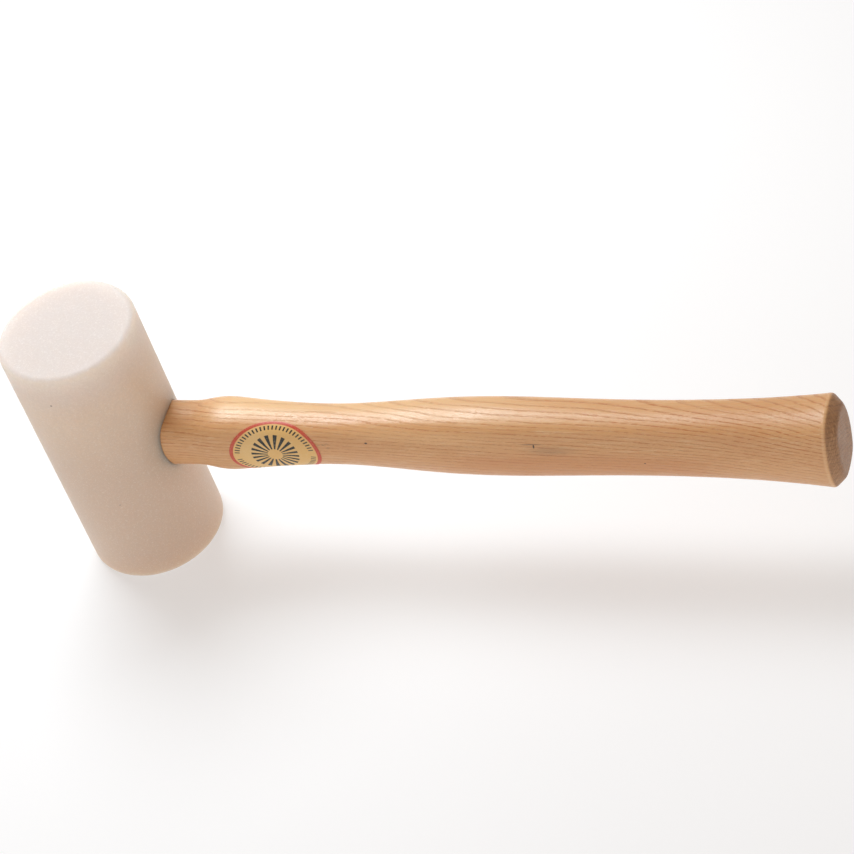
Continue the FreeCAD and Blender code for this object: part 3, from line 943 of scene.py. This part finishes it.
def build_floor():
    """Large floor that the mallet stands on."""
    half = 6.0
    steps = 12
    places = np.linspace(-half, half, steps + 1)
    vertices = [(x, y, 0) for y in places for x in places]
    faces = []
    for row in range(steps):
        for column in range(steps):
            low = row * (steps + 1) + column
            faces.append((low, low + 1, low + steps + 2, low + steps + 1))
    mesh = bpy.data.meshes.new("floor")
    mesh.from_pydata(vertices, [], faces)
    mesh.materials.append(floor_material())
    floor = bpy.data.objects.new("floor", mesh)
    bpy.context.scene.collection.objects.link(floor)


def soft_light(name, aim, direction, distance, size, power, tint):
    """Square soft box that faces a place along the handle's axis."""
    light = bpy.data.lights.new(name, "AREA")
    light.size = size
    light.energy = power
    light.color = tint
    lamp = bpy.data.objects.new(name, light)
    away = Vector(direction).normalized()
    lamp.location = Vector((aim, 0, AXIS_Z)) + away * distance
    lamp.visible_camera = False
    lamp.rotation_euler = away.to_track_quat("Z", "Y").to_euler()
    bpy.context.scene.collection.objects.link(lamp)


def build_world():
    """Even light from all round: a warm horizon under a dimmer zenith."""
    world = bpy.data.worlds.new("studio")
    world.use_nodes = True
    tree = world.node_tree
    place = tree.nodes.new("ShaderNodeTexCoord")
    parts = tree.nodes.new("ShaderNodeSeparateXYZ")
    tree.links.new(place.outputs["Generated"], parts.inputs[0])
    ramp = tree.nodes.new("ShaderNodeValToRGB")
    ramp.color_ramp.elements[0].position = 0.15
    ramp.color_ramp.elements[0].color = HORIZON
    ramp.color_ramp.elements[1].position = 0.85
    ramp.color_ramp.elements[1].color = ZENITH
    tree.links.new(parts.outputs[2], ramp.inputs[0])
    tree.links.new(ramp.outputs[0], tree.nodes["Background"].inputs[0])
    tree.nodes["Background"].inputs[1].default_value = 1.0
    bpy.context.scene.world = world


def build_camera():
    """Camera from the upper right front, turned about its own axis so that the handle lies level."""
    azimuth = math.radians(CAMERA_AZIMUTH)
    elevation = math.radians(CAMERA_ELEVATION)
    roll = math.radians(CAMERA_ROLL)
    back = Vector((
        math.sin(azimuth) * math.cos(elevation),
        -math.cos(azimuth) * math.cos(elevation),
        math.sin(elevation),
    ))
    level = Vector((math.cos(azimuth), math.sin(azimuth), 0))
    upward = back.cross(level)
    right = level * math.cos(roll) + upward * math.sin(roll)
    up = upward * math.cos(roll) - level * math.sin(roll)
    camera = bpy.data.cameras.new("camera")
    camera.lens = CAMERA_LENS
    camera.sensor_width = 36
    camera.clip_end = 50
    eye = bpy.data.objects.new("camera", camera)
    turn = Matrix((right, up, back)).transposed().to_4x4()
    eye.matrix_world = Matrix.Translation(CAMERA_TARGET + back * CAMERA_DISTANCE) @ turn
    bpy.context.scene.collection.objects.link(eye)
    bpy.context.scene.camera = eye


def main():
    """Build every piece, then the studio."""
    stick_tones = (colour(223, 172, 118), colour(*PORE_BROWN), colour(159, 114, 74))
    wedge_tones = (colour(176, 128, 84), colour(120, 74, 42), colour(140, 96, 60))
    handle_wood = wood("lacquered_ash", *stick_tones, 0.38)
    wedge_wood = wood("wedge_wood", *wedge_tones, 0.5, marks=False)
    build_head(head_material())
    build_handle(handle_wood)
    build_label(label_material())
    steel = steel_material()
    wedges = {"wooden_wedge": wedge_wood, "steel_wedge_1": steel, "steel_wedge_2": steel}
    for node, material in wedges.items():
        NODES[node].data.materials.clear()
        NODES[node].data.materials.append(material)
    build_floor()
    for light in LIGHTS:
        soft_light(*light)
    build_world()
    build_camera()
    bpy.context.scene.view_settings.view_transform = "Standard"


main()
